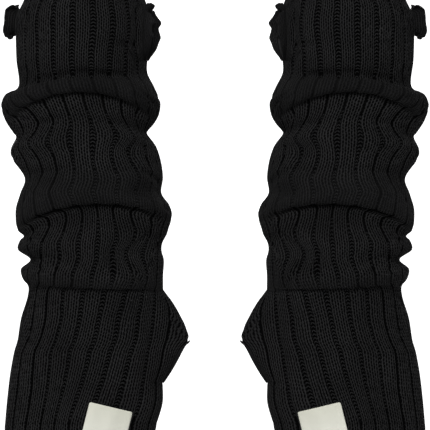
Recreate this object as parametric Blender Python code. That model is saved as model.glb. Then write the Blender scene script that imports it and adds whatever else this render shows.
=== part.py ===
# A pair of slouched rib-knit arm warmers, as they are worn: arms down, hands at the bottom,
# backs of the hands to the front (-Y). Each sleeve is built on its own axis, then placed, and
# the second one is the first one's mirror image. Lengths are in millimetres until a mesh is made.

import math
from collections import namedtuple

import bmesh
import bpy
import numpy as np

# Driving dimensions, in millimetres and degrees

METRES = 0.001
AXIS_TO_MIDDLE = 88.1
RIBS = 21
RIB_TURN = 360 / RIBS
FIRST_GROOVE = -9.4
GROOVE_DEPTH = 1.2
CREST_START = 0.2
CREST_END = 0.8
WALL = 2.4
SEAM_GAP = 0.3

THUMB_TIP_HEIGHT = -187.0
THUMB_HALF_LENGTH = 31.0
THUMB_REACH = 17.6
THUMB_ROUNDNESS = 1.25
THUMB_SPAN = 40.0
THUMB_SHARPNESS = 1.6

SLIT_SPREAD = 50.0
FRILL_THICKNESS = 1.3
BINDING_WIDTH = 2.4
BINDING_THICKNESS = 1.6
BINDING_LIFT = 0.4
BINDING_GAP = 0.5
LABEL_WIDTH = 28.0
LABEL_HEIGHT = 22.0
LABEL_THICKNESS = 0.8
LABEL_TILT = 14.0

# Rings of the sleeve's outer surface, from the upper end down. Each has its reach from the axis
# and its height at four places: the outer side, the inner side, the front and the back. Turn is
# how far its ribs are turned towards the inner side, and crowding how much closer they stand in
# front than at the sides.

Ring = namedtuple("Ring", "name outer outer_z inner inner_z front front_z back back_z turn crowding")

SLEEVE = [
    Ring("upper end", 38.6, 61.5, 40.6, 61.5, 40.0, 61.5, 40.0, 61.5, 1, -0.06),
    Ring("neck", 38.9, 44.0, 40.6, 44.0, 41.0, 44.0, 41.0, 44.0, 1, -0.08),
    Ring("frills start", 42.6, 34.5, 42.6, 36.5, 43.3, 35.5, 43.0, 35.5, 1, -0.06),
    Ring("frills upper", 44.4, 30.0, 44.2, 30.0, 44.5, 30.0, 44.2, 30.0, 0, -0.05),
    Ring("frills middle", 45.1, 25.5, 45.1, 22.5, 45.1, 24.0, 44.8, 23.0, 0, -0.05),
    Ring("frills lower", 45.4, 21.0, 45.0, 15.0, 45.4, 17.5, 45.0, 16.0, 0, -0.03),
    Ring("outer frill ends", 45.5, 16.0, 44.3, 7.0, 45.6, 10.0, 45.0, 9.0, 0, 0.0),
    Ring("inner frill ends", 45.0, 0.0, 42.9, -1.0, 45.2, 0.0, 45.0, -2.0, 0, 0.0),
    Ring("first crease", 43.5, -17.5, 43.0, -9.0, 43.5, -12.0, 43.5, -16.0, 1, 0.0),
    Ring("first roll rises", 52.2, -23.0, 47.4, -18.0, 48.5, -14.0, 50.0, -22.0, 4, 0.0),
    Ring("first roll crest", 55.2, -30.0, 51.4, -28.0, 49.5, -19.0, 51.5, -29.5, 7, 0.03),
    Ring("first lip", 54.0, -37.0, 50.8, -36.0, 46.0, -22.0, 50.5, -36.0, 10, 0.06),
    Ring("under first lip", 50.6, -43.5, 47.3, -43.0, 43.0, -25.0, 47.5, -41.0, 12, 0.08),
    Ring("below first roll", 46.9, -49.0, 43.5, -47.5, 42.3, -33.0, 44.0, -45.5, 15, 0.03),
    Ring("soft crease", 45.2, -52.0, 43.0, -50.0, 41.8, -42.0, 43.0, -50.0, 18, -0.05),
    Ring("second roll rises", 48.7, -60.0, 48.8, -58.0, 45.0, -53.0, 48.0, -60.0, 17, -0.1),
    Ring("second roll crest", 47.2, -67.0, 52.4, -69.0, 46.5, -67.0, 50.0, -70.0, 15, 0.11),
    Ring("outer side crease", 39.4, -79.0, 53.4, -79.0, 49.5, -80.0, 47.5, -82.0, 12, -0.12),
    Ring("third roll rises", 42.3, -89.0, 52.3, -89.0, 53.0, -88.0, 49.0, -92.0, 12, -0.15),
    Ring("third roll crest", 45.3, -99.0, 57.3, -96.5, 53.8, -93.0, 51.5, -100.0, 12, 0.0),
    Ring("big lip", 45.3, -107.0, 59.3, -103.0, 49.5, -96.0, 51.5, -107.0, 12, 0.1),
    Ring("under big lip", 44.4, -113.0, 58.4, -110.5, 45.0, -98.5, 48.0, -112.0, 12, 0.15),
    Ring("below big lip", 40.0, -118.0, 55.9, -117.5, 44.2, -106.0, 45.0, -117.0, 13, 0.14),
    Ring("crease band", 42.7, -121.0, 53.2, -122.0, 43.5, -114.0, 44.0, -121.5, 15, 0.1),
    Ring("small roll", 43.9, -126.0, 52.4, -127.0, 46.0, -123.0, 46.5, -129.0, 15, 0.02),
    Ring("outer side notch", 35.7, -133.0, 54.0, -134.0, 47.0, -133.0, 48.0, -137.0, 12, 0.05),
    Ring("fourth roll", 41.7, -142.0, 53.5, -144.0, 48.0, -144.0, 48.5, -145.0, 7, 0.1),
    Ring("lower lip", 38.8, -149.5, 53.4, -151.0, 46.5, -151.5, 46.0, -152.0, 2, 0.08),
    Ring("under lower lip", 36.1, -154.0, 53.7, -156.0, 42.8, -154.0, 42.5, -155.5, 0, 0.05),
    Ring("wrist", 38.1, -161.0, 54.0, -162.0, 42.0, -162.0, 42.0, -162.0, -1, 0.05),
    Ring("hand starts", 41.9, -173.0, 53.8, -173.0, 41.3, -173.0, 41.3, -173.0, -1, 0.09),
    Ring("thumb opening top", 44.1, -187.0, 53.5, -186.5, 40.6, -187.0, 40.6, -187.0, -3, 0.07),
    Ring("thumb opening upper", 46.4, -195.0, 53.5, -194.0, 40.0, -194.5, 40.0, -194.5, -5, 0.08),
    Ring("thumb opening middle", 48.0, -203.0, 53.5, -202.0, 39.5, -202.5, 39.5, -202.5, -5, 0.12),
    Ring("thumb opening lower", 49.3, -211.0, 53.5, -210.0, 39.0, -210.5, 39.0, -210.5, -5, 0.15),
    Ring("thumb opening foot", 50.3, -219.0, 53.4, -218.0, 38.8, -218.5, 38.8, -218.5, -5, 0.18),
    Ring("knuckles", 51.5, -230.0, 53.2, -230.0, 38.5, -230.0, 38.5, -230.0, -6, 0.2),
    Ring("band seam", 52.8, -243.0, 49.5, -243.0, 38.3, -243.0, 38.3, -243.0, -7, 0.2),
]

BAND = [
    Ring("band top", 52.8, -243.3, 49.4, -243.3, 38.3, -243.3, 38.3, -243.3, -7, 0.2),
    Ring("band middle", 52.9, -251.0, 47.8, -251.0, 38.0, -251.0, 38.0, -251.0, -7, 0.2),
    Ring("hand end", 52.1, -258.5, 47.0, -258.5, 37.6, -258.5, 37.6, -258.5, -7, 0.2),
]

# The slits in the tube, each along one wale between two rings, where two ribs join with no groove.
# Half opening is the angle that each of its edges is pulled aside in the middle, and lift how far
# its edges stand off the arm.

Slit = namedtuple("Slit", "name wale first last half_opening lift")

SLITS = [
    Slit("outer frill", -5, "frills start", "outer frill ends", 13.0, 2.0),
    Slit("inner frill", 5, "frills start", "inner frill ends", 16.0, 2.0),
    Slit("thumb", 6, "thumb opening top", "thumb opening foot", 11.0, 0.0),
]

# The frills: how far each stands out, which share of that is left at its lower end, how far its
# free edge leans over the cloth, and its waves.

Frill = namedtuple("Frill", "reach lower_share lean waves wave_height steps")

FRILLS = {
    "outer frill": Frill(7.6, 1.0, 2.0, 6, 1.3, 30),
    "inner frill": Frill(6.8, 0.5, 3.0, 11, 1.5, 50),
}

Finish = namedtuple("Finish", "name colour roughness")

YARN = Finish("black_yarn", (0.008, 0.008, 0.008, 1.0), 0.9)
WEAVE = Finish("cream_weave", (0.66, 0.67, 0.58, 1.0), 0.75)


def ring_number(name):
    return [ring.name for ring in SLEEVE].index(name)


def unit(vector):
    return vector / np.linalg.norm(vector)


def has_slit(rings, number, rib):
    """Whether one of the slits, or the join of two ribs at its ends, is at this ring and wale."""
    if rings is not SLEEVE:
        return False
    return any(
        abs((rib - slit.wale) % RIBS) < 1e-6 and ring_number(slit.first) <= number <= ring_number(slit.last)
        for slit in SLITS
    )


def slit_at(rings, number, wale):
    """The slit that is open at this wale and ring, with how far down the slit the ring is."""
    if rings is not SLEEVE:
        return None, 0.0
    for slit in SLITS:
        first, last = ring_number(slit.first), ring_number(slit.last)
        if (wale - slit.wale) % RIBS == 0 and first < number < last:
            return slit, (number - first) / (last - first)
    return None, 0.0


def edge_side(rings, number, rib, side):
    """The side of a slit that a place is on, or 0 where the cloth there is whole."""
    return side if has_slit(rings, number, rib) and slit_at(rings, number, round(rib))[0] else 0


def thumb_bump(height, degrees_off_side):
    along = min(abs(height - THUMB_TIP_HEIGHT) / THUMB_HALF_LENGTH, 1.0)
    round_it = max(0.0, 1.0 - abs(degrees_off_side) / THUMB_SPAN) ** THUMB_SHARPNESS
    return THUMB_REACH * (1.0 - along**THUMB_ROUNDNESS) * round_it


def pulled_aside(rings, number, rib, side):
    """The angle of a place on the ring, in degrees from the front, and how far its cloth is lifted.

    Side says on which edge of an open slit a place lies that is right on the slit's own wale.
    """
    angle = FIRST_GROOVE + rib * RIB_TURN + rings[number].turn
    lift = 0.0
    for wale in {slit.wale for slit in SLITS}:
        slit, down = slit_at(rings, number, wale)
        if not slit:
            continue
        off = ((rib - wale + RIBS / 2) % RIBS - RIBS / 2) * RIB_TURN
        if abs(off) >= SLIT_SPREAD:
            continue
        way = side if abs(off) < 1e-6 else math.copysign(1, off)
        width = (1 - (2 * down - 1) ** 2) ** 0.7
        near = 1 - abs(off) / SLIT_SPREAD
        angle += way * slit.half_opening * width * near
        lift += slit.lift * width * near**3
    return angle, lift


def surface(rings, number, rib, side=0):
    """A point of the outer surface, at the ribs' crests. Ribs are counted round from the front."""
    ring = rings[number]
    angle, lift = pulled_aside(rings, number, rib, side)
    straight = FIRST_GROOVE + rib * RIB_TURN + ring.turn
    turned = math.radians(angle)
    turned -= ring.crowding / 2 * math.sin(2 * turned)
    across, forward = math.sin(turned), math.cos(turned)
    half_width = (ring.outer + ring.inner) / 2
    depth, arch_z = (ring.front, ring.front_z) if forward > 0 else (ring.back, ring.back_z)
    middle_z = (ring.outer_z + ring.inner_z) / 2
    z = middle_z + (ring.inner_z - ring.outer_z) / 2 * across + (arch_z - middle_z) * forward**2
    off_side = (straight - 90 + 180) % 360 - 180
    x = (ring.inner - ring.outer) / 2 + (half_width + lift) * across
    x += thumb_bump(z, off_side)
    return np.array([x, -(depth + lift) * forward, z])


def outward(rings, number, rib, side=0):
    """The direction out of the cloth there, square to the ring and to the wales."""
    here = surface(rings, number, rib, side)
    step = 0.15
    round_about = np.zeros(3)
    if side <= 0:
        round_about += unit(here - surface(rings, number, rib - step))
    if side >= 0:
        round_about += unit(surface(rings, number, rib + step) - here)
    down = np.zeros(3)
    if number > 0:
        down += unit(here - surface(rings, number - 1, rib, side))
    if number < len(rings) - 1:
        down += unit(surface(rings, number + 1, rib, side) - here)
    return unit(np.cross(down, round_about))


def cloth_point(rings, number, rib, side, depth):
    """A point that far under the outer surface."""
    return surface(rings, number, rib, side) - outward(rings, number, rib, side) * depth


def knit_tube(rings):
    """A closed wall through the rings: ribs raised on its outside, plain inside, open at both ends."""
    mesh = bmesh.new()
    made = {}

    def point(layer, number, rib, side):
        side = edge_side(rings, number, rib, side)
        key = (layer, number, round(rib % RIBS, 3), side)
        if key not in made:
            in_groove = abs(rib - round(rib)) < 1e-6 and not has_slit(rings, number, rib)
            depth = WALL if layer == "inside" else GROOVE_DEPTH * in_groove
            made[key] = mesh.verts.new(cloth_point(rings, number, rib, side, depth) * METRES)
        return made[key]

    for number in range(len(rings) - 1):
        below = number + 1
        for rib in range(RIBS):
            corners = [rib, rib + CREST_START, rib + CREST_END, rib + 1]
            for left, right in zip(corners, corners[1:]):
                mesh.faces.new([
                    point("outside", number, left, 1),
                    point("outside", below, left, 1),
                    point("outside", below, right, -1),
                    point("outside", number, right, -1),
                ])
            mesh.faces.new([
                point("inside", number, rib, 1),
                point("inside", number, rib + 1, -1),
                point("inside", below, rib + 1, -1),
                point("inside", below, rib, 1),
            ])
            if slit_at(rings, number, rib)[0] or slit_at(rings, below, rib)[0]:
                for side in (1, -1):
                    edge = [
                        point("outside", number, rib, side),
                        point("inside", number, rib, side),
                        point("inside", below, rib, side),
                        point("outside", below, rib, side),
                    ]
                    mesh.faces.new(edge[::side])
    for number in (0, len(rings) - 1):
        for rib in range(RIBS):
            rim = [point("outside", number, rib + part, 1) for part in (0, CREST_START, CREST_END, 1)]
            rim += [point("inside", number, rib + 1, 1), point("inside", number, rib, 1)]
            mesh.faces.new(rim if number == 0 else rim[::-1])
    return mesh


def between(rings, place, rib, side):
    """A point and its outward direction at a place between two rings."""
    number = min(int(place), len(rings) - 2)
    point, out = np.zeros(3), np.zeros(3)
    for ring, share in ((number, number + 1 - place), (number + 1, place - number)):
        ring_side = edge_side(rings, ring, rib, side)
        point += surface(rings, ring, rib, ring_side) * share
        out += outward(rings, ring, rib, ring_side) * share
    return point, unit(out)


def slit_edge(slit, steps, start):
    """Points round a slit's edge: down its front edge and up its back one, with the cloth's outward
    direction and the direction away from the slit's middle line. Start leaves out its pointed ends.
    """
    first, last = ring_number(slit.first), ring_number(slit.last)
    middle, half = (first + last) / 2, (last - first) / 2 * (1 - start)
    edge = []
    for step in range(steps):
        turn = 2 * math.pi * (step + 0.5) / steps
        place = middle - half * math.cos(turn)
        side = -1 if math.sin(turn) > 0 else 1
        here, out = between(SLEEVE, place, slit.wale, side)
        facing = between(SLEEVE, place, slit.wale, -side)[0]
        edge.append((here, out, (here - facing) / 2))
    return edge


def facing_out(mesh):
    """The closed mesh with its faces turned out, which all face the same way before."""
    if mesh.calc_volume(signed=True) < 0:
        bmesh.ops.reverse_faces(mesh, faces=mesh.faces)
    return mesh


def closed_band(rows):
    """A closed ring-shaped solid through rows of points: each row goes once round its section."""
    mesh = bmesh.new()
    verts = [[mesh.verts.new(point * METRES) for point in row] for row in rows]
    for this, following in zip(verts, verts[1:] + verts[:1]):
        for at in range(len(this)):
            after = (at + 1) % len(this)
            mesh.faces.new([this[at], this[after], following[after], following[at]])
    return facing_out(mesh)


def frill(slit):
    """A ruffle that stands on the slit's edge, leaning out over the cloth in waves."""
    form = FRILLS[slit.name]
    edge = slit_edge(slit, form.steps, 0.1)
    middle = sum(here for here, out, aside in edge) / form.steps
    rows = []
    for step, (here, out, aside) in enumerate(edge):
        away = here - middle
        away = unit(away - out * np.dot(away, out))
        turn = 2 * math.pi * (step + 0.5) / form.steps
        wave = form.wave_height * math.sin(form.waves * turn)
        fullness = 0.45 + 0.55 * abs(math.sin(turn))
        fullness *= 1 - (1 - form.lower_share) * (1 - math.cos(turn)) / 2
        reach = form.reach * fullness * (1 + 0.12 * math.cos(form.waves * turn + 1.0))
        foot = here + out * SEAM_GAP
        bend = here + out * reach * 0.45 + away * (form.lean * 0.2 + wave * 0.4)
        brim = here + out * reach + away * (form.lean * fullness + wave)
        half = FRILL_THICKNESS / 2
        rows.append([
            foot - away * half,
            bend - away * half,
            brim - away * half,
            brim + away * half,
            bend + away * half,
            foot + away * half,
        ])
    return closed_band(rows)


def thumb_binding():
    """The bound edge, which carries the cloth on into the thumb opening from its cut edge."""
    slit = next(slit for slit in SLITS if slit.name == "thumb")
    rows = []
    for here, out, aside in slit_edge(slit, 28, 0.14):
        inwards = -unit(aside - out * np.dot(aside, out))
        near = here + inwards * BINDING_GAP
        far = near + inwards * min(BINDING_WIDTH, np.linalg.norm(aside) * 0.6)
        lifted = out * BINDING_LIFT
        under = out * (BINDING_THICKNESS - BINDING_LIFT)
        rows.append([near + lifted, far + lifted, far - under, near - under])
    return closed_band(rows)


def label():
    """A thin patch on the ribs' crests, tilted with them, across the tube's end and the band."""
    rings = SLEEVE + BAND[1:]
    across_steps, down_steps = 6, 6
    corner = np.array([5.4, -229.5])
    tilt = math.radians(LABEL_TILT)
    right = np.array([math.cos(tilt), -math.sin(tilt)])
    down = np.array([-math.sin(tilt), -math.cos(tilt)])
    mesh = bmesh.new()
    layers = []
    for lift in (SEAM_GAP, SEAM_GAP + LABEL_THICKNESS):
        grid = []
        for row in range(down_steps + 1):
            line = []
            for column in range(across_steps + 1):
                place = corner + right * LABEL_WIDTH * column / across_steps
                place = place + down * LABEL_HEIGHT * row / down_steps
                line.append(mesh.verts.new(on_front(rings, place[0], place[1], lift) * METRES))
            grid.append(line)
        layers.append(grid)
    return close_layers(mesh, layers)


def on_front(rings, x, z, lift):
    """The point in front of the cloth at this x and height, that far off the ribs' crests."""
    number = max(at for at in range(len(rings) - 1) if rings[at].front_z >= z)
    part = (rings[number].front_z - z) / (rings[number].front_z - rings[number + 1].front_z)
    ring = [a * (1 - part) + b * part for a, b in zip(rings[number][1:], rings[number + 1][1:])]
    outer, inner, front = ring[0], ring[2], ring[4]
    half_width = (outer + inner) / 2
    across = (x - (inner - outer) / 2) / half_width
    out = unit(np.array([across / half_width, -math.sqrt(1 - across**2) / front, 0.0]))
    return np.array([x, -front * math.sqrt(1 - across**2), z]) + out * lift


def close_layers(mesh, layers):
    """Joins two grids of points of the same size into one closed plate."""
    below, above = layers
    down_steps, across_steps = len(below) - 1, len(below[0]) - 1
    for row in range(down_steps):
        for column in range(across_steps):
            square = [(row, column), (row, column + 1), (row + 1, column + 1), (row + 1, column)]
            mesh.faces.new([above[r][c] for r, c in square])
            mesh.faces.new([below[r][c] for r, c in reversed(square)])
    rim = [(0, c) for c in range(across_steps)]
    rim += [(r, across_steps) for r in range(down_steps)]
    rim += [(down_steps, c) for c in range(across_steps, 0, -1)]
    rim += [(r, 0) for r in range(down_steps, 0, -1)]
    for here, after in zip(rim, rim[1:] + rim[:1]):
        mesh.faces.new([
            above[here[0]][here[1]],
            below[here[0]][here[1]],
            below[after[0]][after[1]],
            above[after[0]][after[1]],
        ])
    return facing_out(mesh)


def finish_material(finish):
    material = bpy.data.materials.new(finish.name)
    material.use_nodes = True
    shader = material.node_tree.nodes["Principled BSDF"]
    shader.inputs["Base Color"].default_value = finish.colour
    shader.inputs["Roughness"].default_value = finish.roughness
    shader.inputs["Metallic"].default_value = 0.0
    return material


def add_piece(name, mesh, finish, mirrored):
    """Places a piece of the left sleeve, or of its mirror image, as an object with its own finish."""
    for vert in mesh.verts:
        vert.co.x -= AXIS_TO_MIDDLE * METRES
        if mirrored:
            vert.co.x = -vert.co.x
    if mirrored:
        bmesh.ops.reverse_faces(mesh, faces=mesh.faces)
    data = bpy.data.meshes.new(name)
    mesh.to_mesh(data)
    mesh.free()
    data.materials.append(finish_material(finish))
    bpy.context.scene.collection.objects.link(bpy.data.objects.new(name, data))


def add_sleeve(side, mirrored):
    add_piece(f"{side}_tube", knit_tube(SLEEVE), YARN, mirrored)
    add_piece(f"{side}_hem_band", knit_tube(BAND), YARN, mirrored)
    add_piece(f"{side}_outer_frill", frill(SLITS[0]), YARN, mirrored)
    add_piece(f"{side}_inner_frill", frill(SLITS[1]), YARN, mirrored)
    add_piece(f"{side}_thumb_binding", thumb_binding(), YARN, mirrored)
    add_piece(f"{side}_label", label(), WEAVE, mirrored)


for leftover in list(bpy.data.objects):
    bpy.data.objects.remove(leftover)

add_sleeve("left", mirrored=False)
add_sleeve("right", mirrored=True)
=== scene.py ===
# The looks of a pair of slouched rib-knit arm warmers, worn with the hands down.
# Each sleeve is worked out on its own upright axis in millimetres, then set in its place in metres,
# and the second one is the mirror image of the first.

import math
from collections import namedtuple
from functools import partial

import bpy
import numpy as np
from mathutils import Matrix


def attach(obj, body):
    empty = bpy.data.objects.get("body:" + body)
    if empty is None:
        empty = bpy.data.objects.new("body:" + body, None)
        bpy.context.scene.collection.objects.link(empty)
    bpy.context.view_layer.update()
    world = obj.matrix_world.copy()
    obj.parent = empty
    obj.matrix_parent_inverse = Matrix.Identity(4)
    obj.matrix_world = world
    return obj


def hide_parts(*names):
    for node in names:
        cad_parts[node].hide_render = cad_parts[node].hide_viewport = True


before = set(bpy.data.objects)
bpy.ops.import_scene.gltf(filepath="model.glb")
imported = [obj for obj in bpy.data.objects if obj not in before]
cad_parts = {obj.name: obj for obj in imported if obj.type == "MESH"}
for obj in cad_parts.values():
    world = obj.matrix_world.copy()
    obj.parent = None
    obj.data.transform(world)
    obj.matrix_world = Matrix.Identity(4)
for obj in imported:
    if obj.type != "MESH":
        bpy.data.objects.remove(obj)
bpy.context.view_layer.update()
mm = 0.001

# The cloth's form

knit = {
    "axisToMiddle": 88.1,
    "ribs": 21,
    "firstGroove": -9.4,  # degrees from the front, where the ribs are counted from
    "legsPerRib": 6,  # three knit wales of two yarn legs each
    "wall": 2.4,
    "rowStep": 1.62,
    "courseHeight": 2.45,
    "legRelief": 0.3,  # how far the yarn legs stand above the valleys between them
    "edgeDrop": 0.75,  # how far a rib rounds off towards its grooves
    "edgeRoundness": 2.6,
    "grooveSide": 1.7,
    "grooveSideAt": 0.6,  # where the side is, as a share of the way out of the groove
    "grooveFloor": 2.1,
    "closedGroove": 0.05,  # half a groove's width, as a share of a rib and its groove
    "openGroove": 0.155,
    "outerClosing": (0.95, 1.3),  # how much the grooves close on each side, and how near to it
    "innerClosing": (0.7, 4),
    "smoothDepth": 0.4,  # what is left of the ribs' depth on tight, smooth cloth
    "slitDepth": 0.5,  # how deep the grooves that run to a slit are
    "slitFade": 1.4,  # over how many rings such a groove comes back
    "slitStitch": 0.4375,  # the spot of a rib's stitches that the slits' cut edges show
    "endStitch": 0.12,  # and the one that the two ends show
}
ribTurn = 360 / knit["ribs"]
columnsPerRib = 2 * knit["legsPerRib"] + 4
innerPerRib = 4  # columns on the plain inside

# Each ring has its reach from the axis and its height on the outer side, the inner side, the front
# and the back. Turn and crowding place the ribs, open says how far the grooves are stretched, and
# relief how clearly the ribs and stitches stand out, where that is less than fully. In the colour,
# relief also sets how much painted shade the stitch holes and grooves get, against an even painted
# shade of smooth cloth.
Ring = namedtuple(
    "Ring", "name outer outerZ inner innerZ front frontZ back backZ turn crowding open relief", defaults=[1]
)

sleeveRings = [Ring(*row) for row in (
    ("upper end", 38.6, 61.5, 40.6, 61.5, 40, 61.5, 40, 61.5, 1, -0.06, 1),
    ("neck", 38.9, 44, 40.6, 44, 41, 44, 41, 44, 1, -0.08, 0.95),
    ("frills start", 42.6, 34.5, 42.6, 36.5, 43.3, 35.5, 43, 35.5, 1, -0.06, 0.95),
    ("frills upper", 44.4, 30, 44.2, 30, 44.5, 30, 44.2, 30, 1.5, -0.05, 0.95),
    ("frills middle", 45.1, 25.5, 45.1, 22.5, 45.1, 24, 44.8, 23, 1.5, -0.05, 1),
    ("frills lower", 45.4, 21, 45, 15, 45.4, 17.5, 45, 16, 1.5, -0.03, 1),
    ("outer frill ends", 45.5, 16, 44.3, 7, 45.6, 10, 45, 9, 1.5, 0, 1),
    ("inner frill ends", 45, 0, 42.9, -1, 45.2, 0, 45, -2, 1.5, 0, 1),
    ("first crease", 43.5, -17.5, 43, -9, 41.6, -13.4, 43, -17, 1, 0, 0.7, 0.8),
    ("first roll rises", 52.2, -23, 47.4, -18, 47.2, -12.4, 50, -21, 2, 0, 0.15, 0.3),
    ("first roll crest", 55.2, -30, 51.4, -28, 50.2, -17.5, 52.5, -28, 3, 0.03, 0.1, 0.3),
    ("first lip", 54.3, -36, 51, -35, 48.9, -21.7, 51.8, -35.5, 4.5, 0.05, 0.1, 0.3),
    ("first lip turned in", 53, -39.5, 49.6, -39, 45.8, -22.4, 49.8, -37.8, 7.5, 0.06, 0.1, 0.4),
    ("first tuck", 51.6, -42, 48.2, -41.5, 43, -20.8, 46.8, -36.4, 11, 0.07, 0.1, 0.6),
    ("under first lip", 50.4, -44, 46.9, -43.5, 45.2, -24.6, 46.2, -40.5, 12, 0.08, 0.05),
    ("below first roll", 46.9, -49, 43.5, -47.5, 43.8, -33, 44, -45.5, 15, 0.03, 0.08),
    ("soft crease", 45.2, -52, 43, -50, 41.8, -42, 43, -50, 18, -0.05, 0.45),
    ("second roll rises", 48.7, -60, 48.8, -58, 45, -53, 48, -60, 17, -0.1, 0.9),
    ("second roll crest", 47.2, -67, 52.4, -69, 46.5, -67, 50, -70, 15, 0.11, 0.4),
    ("outer side crease", 39.4, -79, 53.4, -79, 49.5, -80, 47.5, -82, 12, -0.12, 0.4, 0.55),
    ("third roll rises", 42.3, -89, 52.3, -89, 53, -87.5, 49, -92, 12, -0.15, 0.5, 0.4),
    ("third roll crest", 45.3, -99, 57.3, -96.5, 54.4, -92, 52, -99, 12, 0, 0.5, 0.35),
    ("big lip", 45.5, -107, 59.4, -102.5, 53.3, -95.8, 52, -106, 12, 0.06, 0.4, 0.35),
    ("big lip turned in", 45.1, -110.5, 59.1, -106, 50, -97, 49.8, -108.4, 12, 0.1, 0.4, 0.6),
    ("big tuck", 44.3, -113, 58.5, -109, 45.3, -95, 46.8, -107, 12, 0.13, 0.1, 0.6),
    ("under big lip", 43.4, -115, 57.6, -112, 48.4, -98.6, 45.9, -111.5, 13.3, 0.3, 0.05),
    ("below big lip", 40, -118, 55.9, -117.5, 45.8, -105, 45, -117, 13.5, 0.29, 0.1),
    ("crease band", 42.7, -121, 53.2, -122, 43, -113, 44, -121.5, 17.5, 0.2, 0.45, 0.9),
    ("small roll", 43.9, -127.2, 52.4, -127, 46, -122, 46.5, -129, 17.5, 0.06, 0.8),
    ("outer side notch", 35.7, -133.6, 54, -134, 47, -133, 48, -137, 10.5, 0.05, 0.8),
    ("fourth roll", 42, -139.8, 53.5, -144, 48, -143, 48.5, -144, 10.5, 0.1, 0.5),
    ("lower lip", 41, -146.2, 53.4, -149.5, 48.4, -149.8, 48, -150.5, 9, 0.09, 0.3, 0.5),
    ("lower lip turned in", 38.8, -149.4, 53.4, -153, 46.4, -153.2, 45.8, -153, 6.5, 0.07, 0.3, 0.6),
    ("lower tuck", 37.2, -151.4, 53.6, -155, 42.9, -151.4, 42.7, -151.6, 2.5, 0, 0.5, 0.8),
    ("under lower lip", 36.8, -154.2, 53.7, -157.5, 44.2, -154, 42, -155.5, 0, -0.06, 0.6),
    ("wrist", 38.1, -161, 54, -162, 42.6, -162, 42, -162, -1, -0.02, 0.68),
    ("hand starts", 41.9, -173, 53.8, -173, 41.3, -173, 41.3, -173, -1, 0.09, 0.68),
    ("thumb top", 44.1, -187, 53.5, -186.5, 40.6, -187, 40.6, -187, -3, 0.07, 0.6),
    ("thumb upper", 46.4, -195, 53.5, -194, 40, -194.5, 40, -194.5, -5, 0.08, 0.6),
    ("thumb middle", 48, -203, 53.5, -202, 39.5, -202.5, 39.5, -202.5, -5, 0.12, 0.6),
    ("thumb lower", 49.3, -211, 53.5, -210, 39, -210.5, 39, -210.5, -5, 0.15, 0.6),
    ("thumb foot", 50.3, -219, 53.4, -218, 38.8, -218.5, 38.8, -218.5, -5, 0.18, 0.68),
    ("knuckles", 51.5, -230, 53.2, -230, 38.5, -230, 38.5, -230, -6, 0.2, 0.68),
    ("band seam", 52.7, -243, 49.4, -243, 38.2, -243, 38.2, -243, -7, 0.2, 0.3),
)]

bandRings = [Ring(*row) for row in (
    ("band top", 52.6, -242.8, 49.3, -242.8, 38.1, -242.8, 38.1, -242.8, -7, 0.2, 0.3),
    ("band upper", 53, -246, 48.9, -246, 38.4, -246, 38.4, -246, -7, 0.2, 0.1),
    ("band middle", 52.8, -251, 47.8, -251, 38, -251, 38, -251, -7, 0.2, 0),
    ("hand end", 52.1, -258.5, 47, -258.5, 37.6, -258.5, 37.6, -258.5, -7, 0.2, 0),
)]

# The slits in the tube, each along one wale between two rings. Half opening is in degrees, and lift
# is how far the edges stand off the arm. A low roundness keeps the opening wide to near its ends.
Slit = namedtuple("Slit", "name wale first last halfOpening lift roundness")

slits = [
    Slit("outer frill", -5, "frills start", "outer frill ends", 13, 2, 0.38),
    Slit("inner frill", 5, "frills start", "inner frill ends", 18, 2, 0.6),
    Slit("thumb", 6, "thumb top", "thumb foot", 11, 0, 0.7),
]
slitSpread = 34.0

thumb = {
    "tipZ": -185,
    "halfLength": 31,
    "reach": 17.6,
    "roundness": 1.33,
    "span": 40,
    "sharpness": 1.6,
    "blunting": 14,  # degrees over which the swelling turns round, away from its tip
}

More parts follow.
